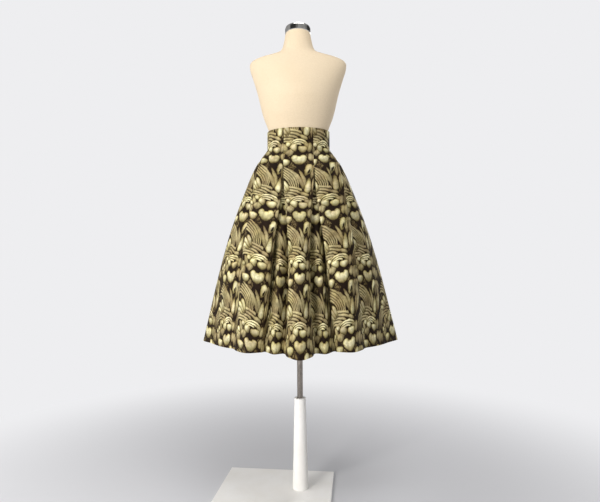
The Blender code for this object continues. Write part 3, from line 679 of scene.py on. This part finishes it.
def level_keys(column, level):
    """Where the folds stand all round one level, from the front's quarter of FOLDS."""
    front = np.array([row[column] for row in FOLDS]) * CM * (1.0, -1.0)
    back = front * (1.0, -BACK_DEPTH[level])
    to_left = np.array([-1.0, 1.0])
    return np.concatenate([front, back[-2::-1], back[1:-1] * to_left, front[:0:-1] * to_left])


def way_round(quarter):
    """Ways along a quarter carried on round the whole ring."""
    quarter = np.array(quarter)
    total = quarter[-1]
    back = quarter[-2::-1]
    return np.concatenate([quarter, 2 * total - back, 2 * total + quarter[1:], 4 * total - back])


def ring_stations():
    """Fine samples round the ring: (key interval, offset, layer, share of the way at the waist)."""
    cloth = way_round([row[CLOTH_COLUMN] for row in FOLDS])
    layers = [row[LAYER_COLUMN] for row in FOLDS[:-1]]
    ring_layers = (layers + layers[::-1]) * 2
    count = len(ring_layers)
    stations = []
    for interval, layer in enumerate(ring_layers):
        before = ring_layers[interval - 1]
        after = ring_layers[(interval + 1) % count]
        length = cloth[interval + 1] - cloth[interval]
        fold_start = before != layer
        fold_end = after != layer
        fine_start = fold_start or interval % INTERVALS == 0 and interval != 0
        fine_end = fold_end or (interval + 1) % INTERVALS == 0 and interval + 1 != count
        steps = max(int(round(length / CLOTH_STEP)), 2)
        offsets = {0.0}
        for step in range(1, steps):
            offset = length * step / steps
            clear_start = offset > FOLD_OFFSETS[-1] + FOLD_MARGIN or not fine_start
            clear_end = length - offset > FOLD_OFFSETS[-1] + FOLD_MARGIN or not fine_end
            if clear_start and clear_end:
                offsets.add(offset)
        if fine_start:
            offsets.update(FOLD_OFFSETS)
        if fine_end:
            offsets.update(length - near for near in FOLD_OFFSETS)
        low = FOLD_ROUND if fold_start else 0.0
        high = FOLD_ROUND if fold_end else 0.0
        for offset in sorted(offsets):
            depth = float(layer)
            if fold_start and offset < FOLD_ROUND:
                depth = before + (layer - before) * smooth(0.5 + offset / (2 * FOLD_ROUND))
            if fold_end and length - offset < FOLD_ROUND:
                depth = after + (layer - after) * smooth(0.5 + (length - offset) / (2 * FOLD_ROUND))
            share = min(max((offset - low) / (length - low - high), 0.0), 1.0)
            stations.append((interval, offset, float(depth), share))
    return stations, cloth


def spline_ring(keys, cloth, stations):
    """A smooth closed curve through the keys, read at the stations."""
    place = cloth[:-1]
    after = np.roll(place, -1)
    after[-1] += cloth[-1]
    before = np.roll(place, 1)
    before[0] -= cloth[-1]
    tangent = (np.roll(keys, -1, axis=0) - np.roll(keys, 1, axis=0)) / (after - before)[:, None]
    start = np.array([station[0] for station in stations])
    end = (start + 1) % len(keys)
    span = (cloth[start + 1] - cloth[start])[:, None]
    s = np.array([station[1] for station in stations])[:, None] / span
    return hermite(s, span, keys[start], keys[end], tangent[start], tangent[end])


def waist_ring(stations):
    """Where each station lies on the waist's ellipse, and its angle there."""
    way, arc, angle = waist_arcs()
    quarter = arc[-1]
    ring_way = way_round(way)
    points = []
    turns = []
    for interval, _, _, share in stations:
        here = ring_way[interval] * (1 - share) + ring_way[interval + 1] * share
        side = int(here / quarter) % 4
        within = here - int(here / quarter) * quarter
        theta = float(np.interp(within if side % 2 == 0 else quarter - within, arc, angle))
        x = (WAIST_HALF_WIDTH - WALL / 2) * math.sin(theta)
        y = (WAIST_HALF_DEPTH - WALL / 2) * math.cos(theta)
        points.append((x if side < 2 else -x, -y if side in (0, 3) else y))
        turns.append(theta)
    return np.array(points), np.array(turns)


def smooth_between(values, places, at, lag):
    """Monotone cubic through values at places, so that no fold overshoots between levels."""
    spans = np.diff(places)
    tangents = calm_tangents(values, spans[:, None, None])
    tangents[0] *= lag
    index = min(int(np.searchsorted(places, at, side="right")) - 1, len(spans) - 1)
    s = (at - places[index]) / spans[index]
    return hermite(s, spans[index], values[index], values[index + 1], tangents[index], tangents[index + 1])


def creased(points, height, share):
    """Slow unevenness round the skirt and the listed creases, all moved out or in."""
    angle = np.arctan2(points[:, 1], points[:, 0])
    radius = np.hypot(points[:, 0], points[:, 1])
    uneven = sum(size * np.sin(waves * angle + phase) for waves, size, phase in UNEVEN)
    moved = radius * (1.0 + share * uneven)
    degrees = np.degrees(angle)
    for at, drift, half, top, bottom, depth in CREASES:
        line = at + drift * (top - height)
        off = (degrees - line + 180.0) % 360.0 - 180.0
        fade_in = smooth((top - height) / CREASE_FADE_IN)
        fade_out = smooth((height - bottom) / CREASE_FADE_OUT + CREASE_BOTTOM)
        start = smooth(share / CREASE_START)
        moved += depth * MM * np.exp(-((off / half) ** 2)) * fade_in * fade_out * start
    return points * (moved / radius)[:, None]


def wall_faces(points):
    """The outer and inner lines of a closed section: the middle line moved out and in, mitred."""
    ahead = np.roll(points, -1, axis=0) - points
    ahead /= np.maximum(np.linalg.norm(ahead, axis=1), 1e-9)[:, None]
    behind = np.roll(ahead, 1, axis=0)
    normal_ahead = np.column_stack([ahead[:, 1], -ahead[:, 0]])
    normal_behind = np.column_stack([behind[:, 1], -behind[:, 0]])
    normal = normal_ahead + normal_behind
    normal /= np.maximum(np.linalg.norm(normal, axis=1), 1e-9)[:, None]
    mitre = 1.0 / np.maximum((normal * normal_ahead).sum(axis=1), MITRE_LIMIT)
    shift = normal * (mitre * WALL / 2)[:, None]
    return points + shift, points - shift


def skirt_rows():
    """Every row of the shown skirt: outer points, inner points, stations and the cloth's way."""
    stations, cloth = ring_stations()
    waist, turns = waist_ring(stations)
    levels = [waist]
    for column, level in enumerate(list(LEVELS)[1:], start=FIRST_LEVEL_COLUMN):
        levels.append(spline_ring(level_keys(column, level), cloth, stations))
    levels = np.array(levels)
    layer = np.array([station[2] for station in stations])
    total = FOLDS[-1][CLOTH_COLUMN]
    way = np.array([cloth[station[0]] + station[1] for station in stations])
    place = way % (2 * total)
    lag = np.interp(np.minimum(place, 2 * total - place), SIDE_LAG_CLOTH, (1.0, SIDE_LAG))[:, None]
    inward = -waist / np.array([WAIST_HALF_WIDTH**2, WAIST_HALF_DEPTH**2])
    inward /= np.linalg.norm(inward, axis=1)[:, None]
    side = np.sin(turns) ** 2
    release = RELEASE_FRONT + RELEASE_SIDE_RISE * side
    top = TOP_SIDE + TOP_FRONT_RISE * (1 - side)
    stitched = waist + inward * (layer * LAYER_PITCH)[:, None]
    rows = [(stitched, top + (release - top) * share) for share in WAIST_ROWS]
    places = np.array(list(LEVELS.values()))
    for share in FREE_ROWS:
        points = smooth_between(levels, places, share, lag)
        fade = 1.0 - smooth((share - LAYER_FADE[0]) / (LAYER_FADE[1] - LAYER_FADE[0]))
        points = points + inward * (layer * LAYER_PITCH * fade)[:, None]
        centre_front = np.exp(-((points[:, 0] / HEM_CENTRE_SPREAD) ** 2)) * (points[:, 1] < 0)
        hem = HEM - HEM_CENTRE_DROP * centre_front
        height = release + (hem - release) * share
        rows.append((creased(points, height, share), height))
    outer = []
    inner = []
    for points, height in rows:
        out_line, in_line = wall_faces(points)
        outer.append(np.column_stack([out_line, height]))
        inner.append(np.column_stack([in_line, height]))
    return np.array(outer), np.array(inner), way


def cloth_across(way, shares, back):
    """How far across the cut cloth each point lies, the flared side seams included, in metres."""
    total = FOLDS[-1][CLOTH_COLUMN]
    flare_from = FOLDS[SIDE_EDGE_ROW][CLOTH_COLUMN]
    off = way - 2 * total if back else (way + 2 * total) % (4 * total) - 2 * total
    size = np.abs(off)
    flare = np.maximum(size - flare_from, 0.0) / (total - flare_from)
    wide = size[None] + flare[None] * SIDE_FLARE * np.array(shares)[:, None]
    return ((BACK_START if back else 0.0) + np.sign(off)[None] * wide) * CM


def rolled(lines, inward_to):
    """A piece's stretch of the ring, its side edges drawn in by half the seam's gap and turned under."""
    piece = lines.copy()
    for ends, step in (((0, 1, 2), 1), ((-1, -2, -3), -1)):
        along = lines[:, ends[1]] - lines[:, ends[0]]
        along[:, 2] = 0.0
        along /= np.linalg.norm(along, axis=1)[:, None]
        piece[:, ends[0]] += along * (SEAM_GAP / 2)
        for column, depth in zip(ends, SEAM_ROLL):
            piece[:, column] += inward_to[:, column] * depth
    return piece


def skirt_piece(name, node, outer, inner, across, down, columns, finishes):
    """One cut piece as a thin shell with its cloth's own coordinates."""
    out_part = outer[:, columns]
    in_part = inner[:, columns]
    inward = in_part - out_part
    inward /= np.linalg.norm(inward, axis=2)[:, :, None]
    out_part = rolled(out_part, inward)
    in_part = rolled(in_part, inward)
    rim = (out_part[:1] + in_part[:1]) / 2 + np.array([0.0, 0.0, TOP_CROWN])
    foot = (out_part[-1:] + in_part[-1:]) / 2 - np.array([0.0, 0.0, HEM_CROWN])
    loop = np.concatenate([rim, out_part, foot, in_part[::-1]])
    rows, count = loop.shape[:2]
    u = across[:, columns]
    v = down[:, columns]
    us = np.concatenate([u[:1], u, u[-1:], u[::-1]])
    vs = np.concatenate([v[:1], v, v[-1:], v[::-1]])
    points = loop.reshape(-1, 3)
    faces = []
    looks = []
    for row in range(rows):
        below = (row + 1) % rows
        lies_in = row > out_part.shape[0]
        for column in range(count - 1):
            faces.append((
                row * count + column,
                below * count + column,
                below * count + column + 1,
                row * count + column + 1,
            ))
            hem_side = vs[row, column] > vs[out_part.shape[0], column] - HEM_TURN_UP
            looks.append(1 if lies_in and not hem_side else 0)
    last = out_part.shape[0] - 1
    for column, order in ((0, 1), (count - 1, -1)):
        for row in range(last):
            outside = (1 + row) * count + column
            inside = (2 * last + 3 - row) * count + column
            faces.append((outside, inside, inside - count, outside + count)[::order])
            looks.append(0)
        for tip, outside, inside in ((0, 1, 2 * last + 3), (last + 2, last + 3, last + 1)):
            faces.append(tuple(row * count + column for row in (tip, inside, outside))[::order])
            looks.append(0)
    mesh = bpy.data.meshes.new(name)
    mesh.from_pydata(points.tolist(), [], faces)
    layer = mesh.uv_layers.new(name="UVMap")
    corner_points = np.empty(len(mesh.loops), dtype=np.int32)
    mesh.loops.foreach_get("vertex_index", corner_points)
    flat = np.column_stack([us.reshape(-1), vs.reshape(-1)])[corner_points]
    layer.data.foreach_set("uv", flat.astype(np.float32).reshape(-1))
    for finish in finishes:
        mesh.materials.append(finish)
    mesh.polygons.foreach_set("material_index", np.array(looks, dtype=np.int32))
    mesh.shade_smooth()
    mesh.set_sharp_from_angle(angle=CLOTH_SHARP)
    made = bpy.data.objects.new(name, mesh)
    bpy.context.collection.objects.link(made)
    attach(made, "figure")
    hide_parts(node)
    return made


def make_skirt():
    """The three cut pieces, each a thin shell whose cloth coordinates give the flat size that it was cut to.
    """
    outer, inner, way = skirt_rows()
    total = FOLDS[-1][CLOTH_COLUMN]
    middle = (outer + inner) / 2
    steps = np.linalg.norm(np.diff(middle, axis=0), axis=2)
    down = np.concatenate([np.zeros((1, steps.shape[1])), np.cumsum(steps, axis=0)])
    shares = [0.0] * len(WAIST_ROWS) + FREE_ROWS
    finishes = [brocade(), lining()]
    right = int(np.argmin(np.abs(way - total)))
    back = int(np.argmin(np.abs(way - 2 * total)))
    left = int(np.argmin(np.abs(way - 3 * total)))
    count = len(way)
    pieces = {
        "skirt_front": list(range(left, count)) + list(range(right + 1)),
        "skirt_back_right": list(range(right, back + 1)),
        "skirt_back_left": list(range(back, left + 1)),
    }
    for node, columns in pieces.items():
        across = cloth_across(way, shares, node != "skirt_front")
        piece = skirt_piece(f"cloth_{node}", node, outer, inner, across, down, columns, finishes)


# The dress form


def make_form(finish):
    """The cream torso, with shallow seams where the panels of its cover meet."""
    heights = np.array([row[0] for row in FORM_SECTIONS])
    fine = np.unique(np.concatenate([np.linspace(heights[0], heights[-1], FORM_ROWS), heights]))
    columns = []
    for index in (1, 2, 3):
        values = np.array([row[index] for row in FORM_SECTIONS])
        columns.append(monotone(heights, values, fine))
    angle = 2 * np.pi * np.arange(FORM_SIDES) / FORM_SIDES
    sin, cos = np.sin(angle), np.cos(angle)
    rings = []
    for z, half, front, back in zip(fine, *columns):
        depth = np.where(sin > 0, back, front)
        dent = np.zeros(FORM_SIDES)
        for seam in FORM_SEAMS:
            off = (np.degrees(angle) - seam + 180.0) % 360.0 - 180.0
            dent += np.exp(-((off / FORM_SEAM_HALF_WIDTH) ** 2))
        keep = 1.0 - FORM_SEAM_DEPTH * np.minimum(dent, 1.0)
        rings.append(np.column_stack([half * cos * keep, depth * sin * keep, np.full(FORM_SIDES, z)]) * CM)
    bore = FORM_SOCKET_RADIUS
    socket = [
        np.column_stack([bore * cos, bore * sin, np.full(FORM_SIDES, FORM_SOCKET_TOP)]),
        np.column_stack([bore * cos, bore * sin, np.full(FORM_SIDES, heights[0] * CM)]),
    ]
    points = np.concatenate([[[0.0, 0.0, FORM_SOCKET_TOP]], *socket, *rings, [[0.0, 0.0, heights[-1] * CM]]])
    count = len(rings) + 2
    faces = []
    last = 1 + (count - 1) * FORM_SIDES
    for side in range(FORM_SIDES):
        beside = (side + 1) % FORM_SIDES
        faces.append((0, 1 + side, 1 + beside))
        for ring in range(count - 1):
            a = 1 + ring * FORM_SIDES
            b = a + FORM_SIDES
            faces.append((a + beside, a + side, b + side, b + beside))
        faces.append((last + side, len(points) - 1, last + beside))
    mesh = bpy.data.meshes.new("form_cover")
    mesh.from_pydata(points.tolist(), [], faces)
    mesh.materials.append(finish)
    mesh.shade_smooth()
    mesh.set_sharp_from_angle(angle=FORM_SHARP)
    made = bpy.data.objects.new("form_cover", mesh)
    bpy.context.collection.objects.link(made)
    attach(made, "figure")
    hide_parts("dress_form")


def monotone(places, values, at):
    """Monotone cubic through one column of numbers."""
    spans = np.diff(places)
    tangents = calm_tangents(values, spans)
    index = np.clip(np.searchsorted(places, at, side="right") - 1, 0, len(spans) - 1)
    s = (at - places[index]) / spans[index]
    return hermite(s, spans[index], values[index], values[index + 1], tangents[index], tangents[index + 1])


def dress_nodes():
    """The solids that show as they are get their finishes."""
    finishes = {
        "neck_cap": steel("cap_steel", linear(214, 212, 208), linear(186, 184, 180), 0.09),
        "stand_rod": steel("rod_steel", linear(150, 143, 136), linear(118, 111, 104), 0.26),
        "stand_tube": paint(),
        "zip_slider": brass(),
    }
    finishes["base_plate"] = finishes["stand_tube"]
    finishes["zip_tab"] = finishes["zip_slider"]
    for node, finish in finishes.items():
        for holder in bpy.data.objects:
            if holder.name == node:
                for socket in holder.material_slots:
                    socket.material = finish


# Camera, light and floor


WALL_COLOUR = linear(238, 238, 240)
FLOOR_COLOUR = linear(208, 208, 211)


def make_camera():
    data = bpy.data.cameras.new("camera")
    data.sensor_width = SENSOR
    data.lens = SENSOR * FOCAL_LENGTH / PHOTO_WIDTH
    data.shift_y = RISE / PHOTO_WIDTH
    camera = bpy.data.objects.new("camera", data)
    camera.location = CAMERA_PLACE
    camera.rotation_euler = (math.radians(90.0), CAMERA_ROLL, 0.0)
    bpy.context.collection.objects.link(camera)
    bpy.context.scene.camera = camera


def area_light(name, place, aim, size, power, colour):
    data = bpy.data.lights.new(name, "AREA")
    data.shape = "RECTANGLE"
    data.size, data.size_y = size
    data.energy = power
    data.color = colour
    light = bpy.data.objects.new(name, data)
    light.location = place
    toward = np.array(aim) - np.array(place)
    flat = math.hypot(toward[0], toward[1])
    light.rotation_euler = (math.atan2(flat, -toward[2]), 0.0, math.atan2(-toward[0], toward[1]))
    bpy.context.collection.objects.link(light)


def make_world():
    """White walls for the camera. As a light they are dimmer, with tall dark flags for the steel to show."""
    world = bpy.data.worlds.new("room")
    world.use_nodes = True
    bpy.context.scene.world = world
    tree = world.node_tree
    seen = tree.nodes["Background"]
    seen.inputs["Color"].default_value = WALL_COLOUR
    direction = tree.nodes.new("ShaderNodeSeparateXYZ")
    tree.links.new(tree.nodes.new("ShaderNodeTexCoord").outputs["Generated"], direction.inputs[0])
    azimuth = tree.nodes.new("ShaderNodeMath")
    azimuth.operation = "ARCTAN2"
    tree.links.new(direction.outputs["X"], azimuth.inputs[0])
    tree.links.new(direction.outputs["Y"], azimuth.inputs[1])
    turn = tree.nodes.new("ShaderNodeMapRange")
    for socket, number in zip(list(turn.inputs)[1:5], (-math.pi, math.pi, 0.0, 1.0)):
        socket.default_value = number
    tree.links.new(azimuth.outputs[0], turn.inputs[0])
    flags = tree.nodes.new("ShaderNodeValToRGB")
    elements = flags.color_ramp.elements
    while len(elements) < len(FLAGS):
        elements.new(1.0)
    for element, (place, grey) in zip(elements, FLAGS):
        element.position = place
        element.color = (grey, grey, grey, 1.0)
    tree.links.new(turn.outputs[0], flags.inputs["Fac"])
    steep = tree.nodes.new("ShaderNodeMath")
    steep.operation = "ABSOLUTE"
    tree.links.new(direction.outputs["Z"], steep.inputs[0])
    beyond = tree.nodes.new("ShaderNodeMapRange")
    for socket, number in zip(list(beyond.inputs)[1:5], (*FLAG_TIPS, 0.0, 1.0)):
        socket.default_value = number
    tree.links.new(steep.outputs[0], beyond.inputs[0])
    walls = tree.nodes.new("ShaderNodeMix")
    walls.data_type = "RGBA"
    walls.inputs[7].default_value = WALL_COLOUR
    tree.links.new(beyond.outputs[0], walls.inputs["Factor"])
    tree.links.new(flags.outputs["Color"], walls.inputs[6])
    lighting = tree.nodes.new("ShaderNodeBackground")
    lighting.inputs["Strength"].default_value = ROOM_LIGHT
    tree.links.new(walls.outputs[2], lighting.inputs["Color"])
    path = tree.nodes.new("ShaderNodeLightPath")
    choice = tree.nodes.new("ShaderNodeMixShader")
    tree.links.new(path.outputs["Is Camera Ray"], choice.inputs[0])
    tree.links.new(lighting.outputs[0], choice.inputs[1])
    tree.links.new(seen.outputs[0], choice.inputs[2])
    tree.links.new(choice.outputs[0], tree.nodes["World Output"].inputs[0])


def make_floor():
    """A pale floor that fades into the walls' white away from the stand."""
    mesh = bpy.data.meshes.new("floor")
    corners = [(x * FLOOR_REACH, y * FLOOR_REACH, 0.0) for x, y in ((-1, -1), (1, -1), (1, 1), (-1, 1))]
    mesh.from_pydata(corners, [], [(0, 1, 2, 3)])
    floor = bpy.data.objects.new("floor", mesh)
    bpy.context.collection.objects.link(floor)
    nodes = Nodes("pale_floor")
    away = nodes.vector("LENGTH", nodes.place("Object"), out="Value")
    far = nodes.between(away, *FLOOR_FADE)
    nodes.feed(nodes.shader.inputs["Emission Color"], nodes.mix(far, (0.0, 0.0, 0.0, 1.0), WALL_COLOUR))
    nodes.shader.inputs["Emission Strength"].default_value = 1.0
    mesh.materials.append(nodes.finish(0.9, nodes.mix(far, FLOOR_COLOUR, (0.0, 0.0, 0.0, 1.0)), specular=0.0))


def make_lights():
    bpy.context.scene.view_settings.view_transform = "Standard"
    for light in LIGHTS:
        area_light(*light)


make_camera()
make_world()
make_floor()
make_lights()
make_skirt()
make_form(linen())
dress_nodes()
